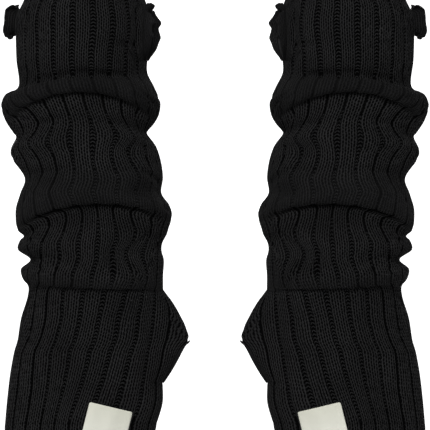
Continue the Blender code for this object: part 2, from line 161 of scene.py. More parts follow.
# Creases in the cloth: the angle from the front, towards the inner side, the height, the tilt from
# level, half the length, the width and the depth. A negative depth makes a ridge.
creaseMake = {
    "mmPerDegree": 0.82,
    "besides": 0.5,  # how far the cloth stands up along both sides of a crease
    "softness": 1.6,
}
creases = [
    (-60, 31, 78, 5, 2.2, 1.4), (-22, -11.5, 8, 18, 2.4, 1.6), (20, -10, -4, 20, 2.4, 1.8),
    (44, 10, 2, 11, 2.2, 1.4), (52, 1, -35, 8, 1.9, 1), (54, 18, 88, 11, 1.7, 2.2),
    (60, 33.5, 25, 6, 1.6, 1.8), (-70, -28, -48, 10, 1.5, 1.7), (-66, -36, -22, 10, 1.3, 1.6),
    (-76, -42, -20, 8, 1.3, 1.4), (54, -27, -18, 9, 1.3, 1.7), (60, -33, -26, 10, 1.3, 1.6),
    (58, -40, -38, 9, 1.3, 1.4), (-86, -33, -35, 9, 1.4, 1.4), (-40, -27, -12, 12, 1.9, 1.4),
    (62, -26, -28, 11, 1.4, 1.8), (74, -32, -40, 10, 1.4, 1.7), (84, -24, -20, 9, 1.4, 1.4),
    (-30, -41, 10, 16, 1.9, 1.4), (18, -42, -4, 18, 2, 1), (-72, -64, -38, 9, 1.5, 1.5),
    (-84, -68, -30, 8, 1.4, 1.4), (42, -64.5, 60, 7, 1.8, 1.5), (58, -58.5, -8, 10, 2, 1.1),
    (60, -78, -20, 15, 2, 1.9), (70, -68, 25, 8, 2, 0.8), (-36, -75, 4, 22, 2.5, 1.4),
    (14, -74, -2, 20, 2.2, 1.2), (-62, -88, 60, 10, 2, 1.2), (44, -90, -30, 12, 2, 1),
    (78, -101, -20, 10, 1.5, 1.4), (60, -107, -62, 9, 1.5, 1.4), (-58, -121, 12, 9, 1.5, 2),
    (48, -119, 40, 12, 1.7, 1.5), (74, -122, 30, 10, 1.4, 1.5), (58, -134, 50, 10, 1.5, 1.8),
    (15, -137.5, -58, 7, 1.7, 1.8), (23, -141.5, -58, 11, 1.5, -1.5), (40, -143.5, -46, 10, 1.8, 2.4),
    (16, -128, 62, 7, 1.6, 1.4), (-52, -140, 8, 11, 1.9, 1.2), (-78, -157, -55, 9, 1.5, 1.4),
    (-66, -176, -60, 14, 2, 1), (77, -178, -58, 8, 1.5, 2), (110, -30, 32, 12, 1.6, 1.7),
    (150, -42, -8, 18, 2, 1.4), (-150, -28, 24, 14, 1.7, 1.5), (-120, -34, 40, 11, 1.5, 1.5),
    (176, -62, 6, 20, 2.2, 1.2), (-140, -68, -26, 12, 1.7, 1.5), (128, -72, -30, 12, 1.7, 1.5),
    (160, -88, 14, 16, 2.2, 1.4), (-122, -92, 44, 11, 1.9, 1.4), (-160, -122, -10, 14, 1.7, 1.7),
    (126, -126, 36, 12, 1.7, 1.7), (168, -138, -16, 14, 1.9, 1.4), (-128, -144, 28, 11, 1.7, 1.5),
    (144, -170, 55, 14, 2.2, 1), (-150, -190, -62, 16, 2.4, 0.9),
]

# Places where the ribs swing sideways: the angle, the height, how far round and how high, and the shift
# in degrees.
sways = [
    (-58, -22, 22, 7, -5), (-48, -42, 22, 8, 4), (-56, -52, 20, 6, -5),
    (-50, -73, 22, 8, 4), (45, -49, 20, 7, 5), (42, -60, 18, 6, -5),
    (52, -74, 20, 8, 5), (48, -112, 18, 8, 6), (54, -127, 18, 7, -5),
    (-60, -118, 20, 6, -3), (-66, -178, 24, 12, 4), (38, -131, 24, 8, -7),
    (36, -145, 20, 7, 5), (-52, -133, 16, 5, -8), (76, -187, 12, 16, -8),
    (42, -180, 14, 22, 3), (8, -240, 35, 30, -9.5),
]


def ringNumber(name):
    return [ring.name for ring in sleeveRings].index(name)


def ringValues(rings, place):
    # the table's numbers at any place between two rings, on a smooth curve through them
    table = np.array([ring[1:] for ring in rings], float)
    last = len(rings) - 1
    low = np.clip(np.floor(place).astype(int), 0, last - 1)
    part = (place - low)[..., None]
    before, start = table[np.maximum(low - 1, 0)], table[low]
    end, after = table[low + 1], table[np.minimum(low + 2, last)]
    value = start + 0.5 * part * (
        end - before
        + part * (2 * before - 5 * start + 4 * end - after + part * (3 * start - before - 3 * end + after))
    )
    return dict(zip(Ring._fields[1:], np.moveaxis(value, -1, 0)))


def wrapped(degrees):
    return (degrees + 180) % 360 - 180


def pulledAside(place, rib, side):
    # how far the slits turn the cloth aside, in degrees, and how far they lift it
    turned, lift = np.zeros(np.shape(place)), np.zeros(np.shape(place))
    for slit in slits:
        first, last = ringNumber(slit.first), ringNumber(slit.last)
        down = np.clip((place - first) / (last - first), 0, 1)
        off = wrapped((rib - slit.wale) * ribTurn)
        way = np.where(np.abs(off) < 1e-6, side, np.sign(off))
        width = (1 - (2 * down - 1) ** 2) ** slit.roundness
        near = np.clip(1 - np.abs(off) / slitSpread, 0, 1)
        turned = turned + way * slit.halfOpening * width * near
        lift = lift + slit.lift * width * near**3
    return turned, lift


def creaseLift(degrees, z):
    lift = np.zeros(np.shape(z))
    for angle, height, slant, half, width, depth in creases:
        tilt = math.radians(slant)
        aside = wrapped(degrees - angle) * creaseMake["mmPerDegree"]
        above = z - height
        along = aside * math.cos(tilt) + above * math.sin(tilt)
        over = (above * math.cos(tilt) - aside * math.sin(tilt)) / width
        fade = np.exp(-((along / half) ** 4))
        section = (1 - creaseMake["besides"] * over**2) * np.exp(-(over**2) / creaseMake["softness"])
        lift -= depth * fade * section
    return lift


def swayed(degrees, z):
    shift = np.zeros(np.shape(z))
    for angle, height, spanAngle, spanZ, most in sways:
        aside = wrapped(degrees - angle) / spanAngle
        shift += most * np.exp(-(aside**2) - ((z - height) / spanZ) ** 2)
    return shift


def heightAt(ring, turned):
    across, forward = np.sin(turned), np.cos(turned)
    middle = (ring["outerZ"] + ring["innerZ"]) / 2
    arch = np.where(forward > 0, ring["frontZ"], ring["backZ"])
    return middle + (ring["innerZ"] - ring["outerZ"]) / 2 * across + (arch - middle) * forward**2


def surface(rings, place, rib, side=0.0):
    # points of the cloth's outer face at the ribs' crests, in the sleeve's own frame. Side is 1 or -1
    # on the two edges of a slit, which lie along the same wale.
    ring = ringValues(rings, place)
    straight = knit["firstGroove"] + rib * ribTurn + ring["turn"]
    worn = rings is sleeveRings
    aside, lift = pulledAside(place, rib, side) if worn else (0.0, 0.0)
    turned = np.radians(straight + aside)
    turned = turned - ring["crowding"] / 2 * np.sin(2 * turned)
    z = heightAt(ring, turned)
    turned = turned + np.radians(swayed(np.degrees(turned), z))
    z = heightAt(ring, turned)
    if worn:
        lift = lift + creaseLift(np.degrees(turned), z)
    across, forward = np.sin(turned), np.cos(turned)
    depth = np.where(forward > 0, ring["front"], ring["back"])
    x = (ring["inner"] - ring["outer"]) / 2 + ((ring["inner"] + ring["outer"]) / 2 + lift) * across
    offSide = np.abs(wrapped(straight - 90))
    along = np.clip(np.abs(z - thumb["tipZ"]) / thumb["halfLength"], 0, 1)
    roundIt = np.clip(1 - offSide / thumb["span"], 0, 1) ** thumb["sharpness"]
    swell = 1 - along ** (thumb["roundness"] + offSide / thumb["blunting"])
    x = x + thumb["reach"] * swell * roundIt
    return np.stack([x, -(depth + lift) * forward, z], axis=-1)


def unit(vectors):
    return vectors / np.maximum(np.linalg.norm(vectors, axis=-1, keepdims=True), 1e-9)


def outward(rings, place, rib, side=0.0):
    # the direction out of the cloth, from small steps along it on the side that is whole there
    last = len(rings) - 1
    step = 0.06
    onSlit = np.abs(rib - np.round(rib)) < 1e-6
    left = np.where(onSlit & (np.asarray(side) > 0), 0, step)
    right = np.where(onSlit & (np.asarray(side) < 0), 0, step)
    around = surface(rings, place, rib + right, side) - surface(rings, place, rib - left, side)
    upper, lower = np.clip(place - step, 0, last), np.clip(place + step, 0, last)
    down = surface(rings, lower, rib, side) - surface(rings, upper, rib, side)
    return unit(np.cross(down, around))


def grooveHalf(rings, place, groove):
    # half a groove's width: less where the cloth isn't stretched, and towards the sleeve's sides
    ring = ringValues(rings, place)
    across = np.sin(np.radians(knit["firstGroove"] + groove * ribTurn + ring["turn"]))
    both = (knit["outerClosing"], knit["innerClosing"])
    outer, inner = (most * np.abs(across) ** near for most, near in both)
    openness = np.clip(ring["open"] - np.where(across < 0, outer, inner), 0, 1)
    return knit["closedGroove"] + (knit["openGroove"] - knit["closedGroove"]) * openness


def slitNear(place, rib):
    # 1 on the wales of the slits beside an opening, fading to 0 where their groove comes back
    near = np.zeros(np.broadcast(place, rib).shape)
    for slit in slits:
        first, last = ringNumber(slit.first), ringNumber(slit.last)
        beyond = np.maximum(np.maximum(first - place, place - last), 0)
        onWale = np.abs(wrapped((rib - slit.wale) * ribTurn)) < ribTurn / 2
        near = np.maximum(near, np.where(onWale, np.clip(knit["slitFade"] - beyond, 0, 1), 0))
    return near


def ribProfile(left, right):
    # the columns across one rib from its groove's middle: their place, depth and stitch coordinate
    legs, sideAt = knit["legsPerRib"], knit["grooveSideAt"]
    count = np.arange(2 * legs + 1) / (2 * legs)
    places = [0 * left, sideAt * left]
    places += [left + (1 - left - right) * c for c in count] + [1 - sideAt * right]
    crown = knit["edgeDrop"] * np.abs(2 * count - 1) ** knit["edgeRoundness"]
    valley = knit["legRelief"] * (np.arange(2 * legs + 1) % 2 == 0)
    depths = [knit["grooveFloor"], knit["grooveSide"], *(crown + valley), knit["grooveSide"]]
    stitches = [0.0, sideAt, *(1 + legs * count), legs + 2 - sideAt]
    return np.stack(places, axis=-1), np.array(depths), np.array(stitches)


def rowPlaces(rings):
    # rows an even distance apart, with an even number of steps from each ring to the next
    places = [0.0]
    ribs = np.arange(0, knit["ribs"], 3)
    for number in range(len(rings) - 1):
        inner = np.linspace(number, number + 1, 9)
        points = surface(rings, *np.meshgrid(inner, ribs, indexing="ij"))
        length = np.linalg.norm(np.diff(points, axis=0), axis=-1).sum(axis=0).mean()
        steps = 2 * max(1, round(length / (2 * knit["rowStep"])))
        places += list(number + np.arange(1, steps + 1) / steps)
    return np.array(places)


def courseCounts(rings, places, ribs):
    # stitch rows counted down each column from the upper end, at the height that a course really has
    points = surface(rings, *np.meshgrid(places, ribs, indexing="ij"))
    steps = np.linalg.norm(np.diff(points, axis=0), axis=-1)
    return np.vstack([np.zeros(len(ribs)), np.cumsum(steps, axis=0)]) / knit["courseHeight"]


def intoPlace(points, mirrored):
    placed = (points - [knit["axisToMiddle"], 0, 0]) * mm
    return placed * [-1, 1, 1] if mirrored else placed


def quadFaces(*corners):
    return np.stack(corners, axis=-1).reshape(-1, 4)


def cornerStitches(*values):
    # each face's four places on the stitches, from rib and course, rib and course and so on
    return np.stack(np.broadcast_arrays(*values), axis=-1).reshape(-1, 4, 2).tolist()


def newPiece(name, points, faces, stitches, mirrored, material):
    # a mesh whose UV map counts ribs across and courses down
    if mirrored:
        faces = [face[::-1] for face in faces]
        stitches = [corners[::-1] for corners in stitches]
    data = bpy.data.meshes.new(name)
    data.from_pydata(intoPlace(points, mirrored).tolist(), [], faces)
    layer = data.uv_layers.new(name="knit")
    flat = [value for face in stitches for pair in face for value in pair]
    layer.data.foreach_set("uv", np.array(flat, np.float32))
    data.shade_smooth()
    data.materials.append(material)
    piece = bpy.data.objects.new(name, data)
    bpy.context.scene.collection.objects.link(piece)
    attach(piece, "root")
    return piece


def knitTube(name, rings, mirrored, material):
    # a closed wall: the ribs' legs and grooves on its outside, plain inside, cut open at the slits
    places = rowPlaces(rings)
    rows, ribs = len(places), knit["ribs"]
    columns = ribs * columnsPerRib
    half = grooveHalf(rings, places[:, None], np.arange(ribs)[None, :])
    across, depths, legs = ribProfile(half, np.roll(half, -1, axis=1))
    rib = (np.arange(ribs)[None, :, None] + across).reshape(rows, columns)
    place = places[:, None] + np.zeros((1, columns))
    relief = ringValues(rings, place)["relief"]
    smooth = knit["smoothDepth"]
    depth = np.tile(depths, ribs)[None, :] * (smooth + (1 - smooth) * relief)
    if rings is sleeveRings:
        depth -= slitNear(place, rib) * np.clip(depth - knit["slitDepth"], 0, None)
    counts = courseCounts(rings, places, np.arange(ribs))
    counts = np.hstack([counts, counts[:, :1]])
    countAt = np.array([np.interp(r, np.arange(ribs + 1), c) for r, c in zip(rib, counts)])

    outer = surface(rings, place, rib) - outward(rings, place, rib) * depth[..., None]
    points = [outer.reshape(-1, 3)]
    rightOf = np.arange(rows * columns).reshape(rows, columns)
    leftOf = rightOf.copy()
    made = rows * columns

    innerRows = np.arange(0, rows, 2)
    innerRib = np.arange(ribs * innerPerRib) / innerPerRib
    at = np.meshgrid(places[innerRows], innerRib, indexing="ij")
    points.append((surface(rings, *at) - outward(rings, *at) * knit["wall"]).reshape(-1, 3))
    innerRight = made + np.arange(at[0].size).reshape(at[0].shape)
    innerLeft = innerRight.copy()
    made += innerRight.size

    openRows = []
    for slit in slits if rings is sleeveRings else []:
        first, last = ringNumber(slit.first), ringNumber(slit.last)
        wale = slit.wale % ribs
        inside = np.flatnonzero((places > first + 1e-6) & (places < last - 1e-6))
        for grid, rowsThere, column, deep in (
            (rightOf, inside, wale * columnsPerRib, knit["slitDepth"]),
            (innerRight, inside[inside % 2 == 0] // 2, wale * innerPerRib, knit["wall"]),
        ):
            there = places[inside] if grid is rightOf else places[innerRows[rowsThere]]
            copies = leftOf if grid is rightOf else innerLeft
            for side, target in ((1, grid), (-1, copies)):
                at = (rings, there, np.full(len(there), float(wale)), float(side))
                points.append(surface(*at) - outward(*at) * deep)
                target[rowsThere, column] = made + np.arange(len(there))
                made += len(there)
        openRows.append((wale, int(np.flatnonzero(places >= first - 1e-6)[0]), int(inside[-1]) + 1))

    points = np.concatenate(points)
    clear = np.ones(len(points))
    clear[:rows * columns] = relief.reshape(-1)
    nextLeft, nextCount, innerNext = (np.roll(grid, -1, axis=1) for grid in (leftOf, countAt, innerLeft))
    faces = quadFaces(rightOf[:-1], rightOf[1:], nextLeft[1:], nextLeft[:-1]).tolist()
    u = (np.arange(ribs)[:, None] + legs[None, :] / (knit["legsPerRib"] + 2)).reshape(-1)
    nextU = np.append(u[1:], float(ribs))
    corners = cornerStitches(u, countAt[:-1], u, countAt[1:], nextU, nextCount[1:], nextU, nextCount[:-1])

    quarter = columnsPerRib // innerPerRib
    innerCount = countAt[innerRows][:, ::quarter]
    upper, lower, nextRib = innerCount[:-1], innerCount[1:], innerRib + 1 / innerPerRib
    faces += quadFaces(innerRight[:-1], innerNext[:-1], innerNext[1:], innerRight[1:]).tolist()
    corners += cornerStitches(innerRib, upper, nextRib, upper, nextRib, lower, innerRib, lower)

    for wale, top, foot in openRows:  # the cut edges
        column = wale * columnsPerRib
        for row in range(top, foot, 2):
            for outerGrid, innerGrid, turned in ((rightOf, innerRight, 1), (leftOf, innerLeft, -1)):
                upper, middle, lower = outerGrid[row:row + 3, column]
                edge = [upper, *innerGrid[row // 2:row // 2 + 2, wale * innerPerRib], lower, middle]
                faces.append([int(i) for i in edge[::turned]])
                corners.append([[wale + knit["slitStitch"], countAt[row, column]]] * 5)
    for row, turned in ((0, 1), (rows - 1, -1)):  # the two ends
        for part in range(ribs * innerPerRib):
            rim = [rightOf[row, (part * quarter + i) % columns] for i in range(quarter + 1)]
            rim += [innerNext[row // 2, part], innerRight[row // 2, part]]
            faces.append([int(i) for i in rim[::turned]])
            corners.append([[part / innerPerRib + knit["endStitch"], countAt[row, 0]]] * len(rim))
    tube = newPiece(name, points, faces, corners, mirrored, material)
    # the relief attribute tells the material how much painted shade the holes and grooves get, and how much
    # even painted shade the smooth cloth gets
    attribute = tube.data.attributes.new("relief", "FLOAT", "POINT")
    attribute.data.foreach_set("value", clear.astype(np.float32))
    return tube


# The purl loops that show as small arches across each open groove

purl = {
    "radius": 0.34,
    "alongLoop": (-1, -0.72, -0.42, 0, 0.42, 0.72, 1),  # where a loop bends, from end to end
    "rise": 0.6,
    "sharpness": 1.2,
    "endDepth": 1.5,
    "middleDepth": 0.95,
    "reach": 1.1,
    "spread": 1.1,  # how much wider each loop is on its two slopes
    "slope": 0.42,  # where they are, from its middle to its end
    "slopeLength": 0.2,
    "tilt": 0.06,
    "unevenness": 0.13,
    "unevenTurns": (12.9898, 78.233),  # how it changes with each course and each groove
    "spreadChange": 0.25,
    "spreadTurns": (7.1, 3.3),
    "endGap": 0.4,  # courses without a loop at the hand end
    "slitGap": 0.3,
    "fewest": 0.16,  # how open a groove is, as a share, before its loops show
}


def purlLoops(name, rings, mirrored, material):
    places = rowPlaces(rings)
    grooves = np.arange(knit["ribs"]).astype(float)
    counts = courseCounts(rings, places, grooves)
    alongLoop = np.array(purl["alongLoop"])
    bends = len(alongLoop)
    peak = 1 - np.abs(alongLoop) ** purl["sharpness"]
    slopes = np.exp(-(((np.abs(alongLoop) - purl["slope"]) / purl["slopeLength"]) ** 2))
    (byCourse, byGroove), (spreadByCourse, spreadByGroove) = purl["unevenTurns"], purl["spreadTurns"]
    step = 0.05
    points, faces, corners = [], [], []
    made = 0
    for groove, count in zip(grooves, counts.T):
        middles = np.arange(1.0, count[-1] - purl["endGap"])
        middles = middles + purl["unevenness"] * np.sin(middles * byCourse + groove * byGroove)
        course = middles[:, None] + (purl["tilt"] * alongLoop - purl["rise"] * peak)[None, :]
        place = np.interp(course, count, places)
        there = np.interp(middles, count, places)
        half = grooveHalf(rings, there, groove)[:, None]
        stretched = (half[:, 0] - knit["closedGroove"]) / (knit["openGroove"] - knit["closedGroove"])
        atSlit = slitNear(there, np.full(len(there), groove))
        keep = (stretched > purl["fewest"]) & (atSlit < purl["slitGap"])
        rib = groove + alongLoop[None, :] * half * purl["reach"]
        deep = purl["middleDepth"] + (purl["endDepth"] - purl["middleDepth"]) * alongLoop**2
        place, rib = place[keep], rib[keep]
        out = outward(rings, place, rib)
        line = surface(rings, place, rib) - out * deep[None, :, None]
        down = unit(surface(rings, place + step, rib) - surface(rings, place - step, rib))
        change = 1 + purl["spreadChange"] * np.sin(middles[keep] * spreadByCourse + groove * spreadByGroove)
        across = down * (1 + purl["spread"] * slopes[None, :] * change[:, None])[..., None]
        ring = np.stack([line + way * purl["radius"] for way in (out, across, -out, -across)], axis=2)
        loops = len(ring)
        points.append(ring.reshape(-1, 3))
        index = made + np.arange(loops * bends * 4).reshape(loops, bends, 4)
        made += loops * bends * 4
        after = index[..., [1, 2, 3, 0]]
        sides = quadFaces(index[:, :-1], index[:, 1:], after[:, 1:], after[:, :-1])
        loopFaces = np.concatenate([sides, index[:, 0], index[:, -1][:, ::-1]])
        faces += loopFaces.tolist()
        corners += [[[groove, 0.0]] * 4] * len(loopFaces)
    return newPiece(name, np.concatenate(points), faces, corners, mirrored, material)


def slitEdge(slit, steps, shorter):
    # points round a slit's edge, down its front side and up its back one
    first, last = ringNumber(slit.first), ringNumber(slit.last)
    turn = 2 * np.pi * (np.arange(steps) + 0.5) / steps
    place = (first + last) / 2 - (last - first) / 2 * (1 - shorter) * np.cos(turn)
    side = np.where(np.sin(turn) > 0, -1.0, 1.0)
    wale = np.full(steps, float(slit.wale))
    here = surface(sleeveRings, place, wale, side)
    out = outward(sleeveRings, place, wale, side)
    aside = (here - surface(sleeveRings, place, wale, -side)) / 2
    return turn, here, out, aside


edgeStitches = (0.085, 0.16)  # ribs across and courses along, from one point to the next


def closedRows(name, rows, mirrored, material):
    # a closed band through rows of points, each once round its section
    steps, size = rows.shape[:2]
    index = np.arange(steps * size).reshape(steps, size)
    after = np.roll(index, -1, axis=0)
    faces = quadFaces(index, np.roll(index, -1, axis=1), np.roll(after, -1, axis=1), after)
    a, b, c = (rows.reshape(-1, 3)[faces[:, i]] for i in range(3))
    if (a * np.cross(b, c)).sum() < 0:
        faces = faces[:, ::-1]
    step, at = np.divmod(faces, size)
    uv = np.stack([at * edgeStitches[0], step * edgeStitches[1]], axis=-1)
    return newPiece(name, rows.reshape(-1, 3), faces.tolist(), uv.tolist(), mirrored, material)


# The frills' free edges: the turn round the slit from its upper end down the front, in degrees, how far
# the edge stands out there and how far it leans over the cloth.
outerFrillEdge = [
    (0, 1.4, 0), (24, 2, 0.4), (36, 5.2, 5.2), (44, 6.4, 4), (56, 8.2, 1.4), (75, 8.2, -0.6),
    (100, 8, -1), (122, 8.2, 0.6), (138, 8, 3.4), (148, 5, 2.8), (160, 1.8, 0), (182, 1, -0.4),
    (205, 1.6, 0), (222, 7.4, 3), (240, 8, 1.2), (265, 7.2, 1), (300, 8, 1.6), (316, 6, 4.2),
    (332, 2, 0.6),
]
innerFrillEdge = [
    (0, 2.4, 0.4), (12, 3.6, -0.8), (24, 5.6, -2.2), (31, 4.4, -1.6), (38, 0.6, 0), (46, 1.2, -0.6),
    (52, 4, -2), (62, 5, -2.6), (72, 7.8, -4), (80, 5, -2.4), (92, 5.2, -2.6), (100, 7, -3.8),
    (109, 4, -2), (120, 3.6, -2.2), (138, 1.6, -1), (165, 0.6, -0.4), (185, 0.4, 0),
    (210, 0.5, 0.2), (227, 1.8, 0.6), (240, 3.4, 0.9), (250, 4.2, 1), (260, 6, 1.4), (270, 4.4, 1),
    (278, 3.6, 0.8), (285, 6.8, 1.6), (296, 4, 1), (306, 2.6, 0.8), (315, 2.4, 0.6), (323, 0.2, 0),
    (333, 4.2, -0.6), (345, 3.4, 0.6),
]
frills = {"outer frill": outerFrillEdge, "inner frill": innerFrillEdge}
frillMake = {
    "steps": 288,
    "levels": 10,
    "smoothing": 7,  # steps over which the edges' numbers are smoothed
    "thickness": 1.2,
    "edgeRound": (1.06, 8, 0.1),  # how full it is, how late it thins to its free edge and how far
    "shorter": 0.06,
    "sunk": 0.8,
    "flare": 1.7,
    "curl": 0.8,
    "curlLate": 7,  # the higher, the nearer to the free edge the curl starts
    "scallops": 24,
    "scallopHeight": 0.14,
    "scallopDrift": (3, 0.9),  # how often and how far they bunch up round the slit
}


def aroundEdge(turn, edgeTurns, values):
    # a number of the free edge at every step round it, smoothed
    steps = len(turn)
    window = np.hanning(frillMake["smoothing"])
    thrice = np.tile(np.interp(np.degrees(turn), edgeTurns, values, period=360), 3)
    return np.convolve(thrice, window / window.sum(), "same")[steps:-steps]


def frill(name, slit, mirrored, material):
    # a ruffle that stands on the slit's edge, with its free edge curled back in small scallops
    turn, here, out, _ = slitEdge(slit, frillMake["steps"], frillMake["shorter"])
    away = here - here.mean(axis=0)
    away = unit(away - out * (out * away).sum(axis=-1, keepdims=True))
    edgeTurns, reaches, leans = zip(*frills[slit.name])
    reach, lean = aroundEdge(turn, edgeTurns, reaches), aroundEdge(turn, edgeTurns, leans)
    drifts, drift = frillMake["scallopDrift"]
    scallop = np.sin(frillMake["scallops"] * turn + drift * np.sin(drifts * turn))
    scallop *= frillMake["scallopHeight"]
    levels = np.linspace(0, 1, frillMake["levels"])
    sunk, flare = frillMake["sunk"], frillMake["flare"]
    line = []
    for level in levels:
        stand = (reach + sunk) * math.sin(level * flare) / math.sin(flare)
        over = lean * level**2 + scallop * level**2 + frillMake["curl"] * level ** frillMake["curlLate"]
        line.append(here + out * (stand - sunk)[:, None] + away * over[:, None])
    line = np.stack(line, axis=1)
    around = np.roll(line, -1, axis=0) - np.roll(line, 1, axis=0)
    normal = unit(np.cross(around, np.gradient(line, axis=1)))
    full, late, least = frillMake["edgeRound"]
    thick = frillMake["thickness"] / 2 * np.sqrt(np.clip(full - levels**late, least, 1))
    offset = normal * thick[None, :, None]
    rows = np.concatenate([line - offset, (line + offset)[:, ::-1]], axis=1)
    return closedRows(name, rows, mirrored, material)


binding = {
    "steps": 96,
    "width": 2.5,
    "widest": 0.7,  # as a share of half the opening, near its ends
    "plumpness": 1.25,
    "thickness": 1.9,
    "lift": 0.5,
    "shorter": 0.1,
    "sides": 12,
}


def thumbBinding(name, mirrored, material):
    _, here, out, aside = slitEdge(slits[2], binding["steps"], binding["shorter"])
    inwards = -unit(aside - out * (out * aside).sum(axis=-1, keepdims=True))
    widest = np.linalg.norm(aside, axis=-1) * binding["widest"]
    width = np.minimum(binding["width"], widest)[:, None] / 2
    middle = here + inwards * width - out * (binding["thickness"] / 2 - binding["lift"])
    rows = []
    for part in range(binding["sides"]):
        angle = 2 * math.pi * part / binding["sides"]
        rows.append(middle + inwards * width * binding["plumpness"] * math.cos(angle)
                    + out * binding["thickness"] / 2 * math.sin(angle))
    return closedRows(name, np.stack(rows, axis=1), mirrored, material)


# The bare woven label, across the end of the tube and the band

label = {
    "corner": (4.7, -228.1),
    "width": 29,
    "height": 22,
    "tilt": 14,
    "thickness": 0.75,
    "round": 1.3,
    "edgeThickness": 0.55,  # as a share of its thickness
    "edgeWidth": 0.7,
    "lift": 0.35,
    "waves": (0.25, 0.45, 0.6),  # their height, how close they are and where they start
    "waveEdge": 5,  # how far in from its edges they fade
    "steps": (44, 34),
}
handRings = 8  # the lowest rings, which the label lies on


def onFront(x, z, lift):
    # the point in front of the cloth at this x and height, off the ribs' crests
    rings = sleeveRings + bandRings[1:]
    heights = np.array([ring.frontZ for ring in rings])
    place = np.interp(-z, -heights[-handRings:], np.arange(len(rings))[-handRings:])
    ring = {key: np.interp(place, np.arange(len(rings)), [getattr(r, key) for r in rings])
            for key in ("outer", "inner", "front")}
    half = (ring["outer"] + ring["inner"]) / 2
    across = (x - (ring["inner"] - ring["outer"]) / 2) / half
    forward = np.sqrt(1 - across**2)
    out = unit(np.stack([across / half, -forward / ring["front"], np.zeros_like(x)], axis=-1))
    return np.stack([x, -ring["front"] * forward, z], axis=-1) + out * np.asarray(lift)[..., None]


def wovenLabel(name, mirrored, material):
    wide, high = label["width"], label["height"]
    across, down = label["steps"]
    tilt = math.radians(label["tilt"])
    u, v = np.meshgrid(np.linspace(0, 1, across + 1), np.linspace(0, 1, down + 1), indexing="xy")
    x, y = (u - 0.5) * wide, (v - 0.5) * high
    cornerX, cornerY = wide / 2 - label["round"], high / 2 - label["round"]
    pastX, pastY = np.abs(x) - cornerX, np.abs(y) - cornerY
    both = (pastX > 0) & (pastY > 0)
    far = np.maximum(np.hypot(pastX, pastY), 1e-9)
    squeeze = np.where(both, np.maximum(pastX, pastY) / far, 1)
    x = np.where(both, np.sign(x) * (cornerX + pastX * squeeze), x)
    y = np.where(both, np.sign(y) * (cornerY + pastY * squeeze), y)
    fromLeft, fromTop = x + wide / 2, y + high / 2
    onX = label["corner"][0] + fromLeft * math.cos(tilt) - fromTop * math.sin(tilt)
    onZ = label["corner"][1] - fromLeft * math.sin(tilt) - fromTop * math.cos(tilt)
    edge = np.minimum(wide / 2 - np.abs(x), high / 2 - np.abs(y))
    wave, waveTurns, waveStart = label["waves"]
    rise = label["lift"] + wave * np.sin(x * waveTurns + waveStart) * np.clip(edge / label["waveEdge"], 0, 1)
    thin = label["edgeThickness"]
    plump = label["thickness"] * (thin + (1 - thin) * np.clip(edge / label["edgeWidth"], 0, 1) ** 0.5)
    upper = onFront(onX, onZ, rise + plump)
    lower = onFront(onX, onZ, rise)
    size = (across + 1) * (down + 1)
    index = np.arange(size).reshape(down + 1, across + 1)
    top = quadFaces(index[:-1, :-1], index[1:, :-1], index[1:, 1:], index[:-1, 1:])
    rim = np.concatenate([index[0, :-1], index[:-1, -1], index[-1, :0:-1], index[:0:-1, 0]])
    nextRim = np.roll(rim, -1)
    faces = np.concatenate([top, top[:, ::-1] + size, quadFaces(rim, nextRim, nextRim + size, rim + size)])
    flat = np.stack([u * wide, v * high], axis=-1).reshape(-1, 2)
    uv = np.concatenate([flat, flat])[faces]
    points = np.concatenate([upper.reshape(-1, 3), lower.reshape(-1, 3)])
    return newPiece(name, points, faces.tolist(), uv.tolist(), mirrored, material)


# Materials

yarn = {
    "colour": (0.0208, 0.0208, 0.0213),
    # deepColour is the near-black that painted shade darkens towards in the stitch holes, grooves and smooth
    # cloth; the fibres' random tone also leans towards it
    "deepColour": (0.0004, 0.0004, 0.0005),
    "loopColour": (0.0172, 0.0172, 0.0177),
    "edgeColour": (0.01, 0.01, 0.0104),
    "smoothPaintedShade": 0.6,  # painted shade: how much darker the colour is made on tight, smooth cloth
    "roughness": 0.85,
    "specular": 0.03,
    "sheen": 0.012,
    "sheenRoughness": 0.45,
    "fibreScale": 900,
    "blotchScale": 45,
    "blotches": 0.6,  # how strong the blotches and the fuzz are in its shade
    "fuzz": 0.9,
    "fuzzBump": 0.12,
    "plainBump": 0.2,
}
# The stitch holes dip in the bump and are darkened with painted shade, as are the grooves between the ribs
stitch = {
    "holeWidth": 0.37,  # in legs of yarn, and the height in courses
    "holeHeight": 0.53,
    "holeDepth": 0.9,
    "holeStrength": 1.9,
    "strengthChange": 4,
    "courseShift": 1.3,  # how far the stitches stray along and beside their wale
    "legShift": 0.7,
    "shiftScale": 0.6,
    "strandSwing": 0.1,
    "strandRoundness": 0.6,
    "grooveWidth": 1.15,
    "grooveSharpness": 3.5,
    "bump": 0.45,
    "frillBump": 0.15,
    "frillPaintedShade": (0.5, 0.25),  # painted shade on the frills: the share of the holes' painted shade, and an even painted shade of their own
}
weave = {
    "colour": (0.62, 0.62, 0.53),
    "paleColour": (0.70, 0.70, 0.63),
    "paling": 0.9,  # how much of the pale colour it reaches at its foot
    "roughness": 0.7,
    "specular": 0.25,
    "threadsPerMm": 3.2,
    "bump": 0.05,
    "fuzzBump": 0.03,
}


def addNode(tree, kind, **values):
    node = tree.nodes.new(kind)
    for key, value in values.items():
        setattr(node, key, value)
    return node


def maths(tree, operation, first, second=None, clamp=False):
    node = addNode(tree, "ShaderNodeMath", operation=operation, use_clamp=clamp)
    for socket, value in zip(node.inputs, (first, second)):
        if value is None:
            continue
        if isinstance(value, (int, float)):
            socket.default_value = value
        else:
            tree.links.new(value, socket)
    return node.outputs[0]


def newGroup(name, inputs, outputs):
    group = bpy.data.node_groups.new(name, "ShaderNodeTree")
    for way, sockets in (("INPUT", inputs), ("OUTPUT", outputs)):
        for socket in sockets:
            kind = "NodeSocketVector" if socket == "Vector" else "NodeSocketFloat"
            group.interface.new_socket(socket, in_out=way, socket_type=kind)
    return group, addNode(group, "NodeGroupInput"), addNode(group, "NodeGroupOutput")


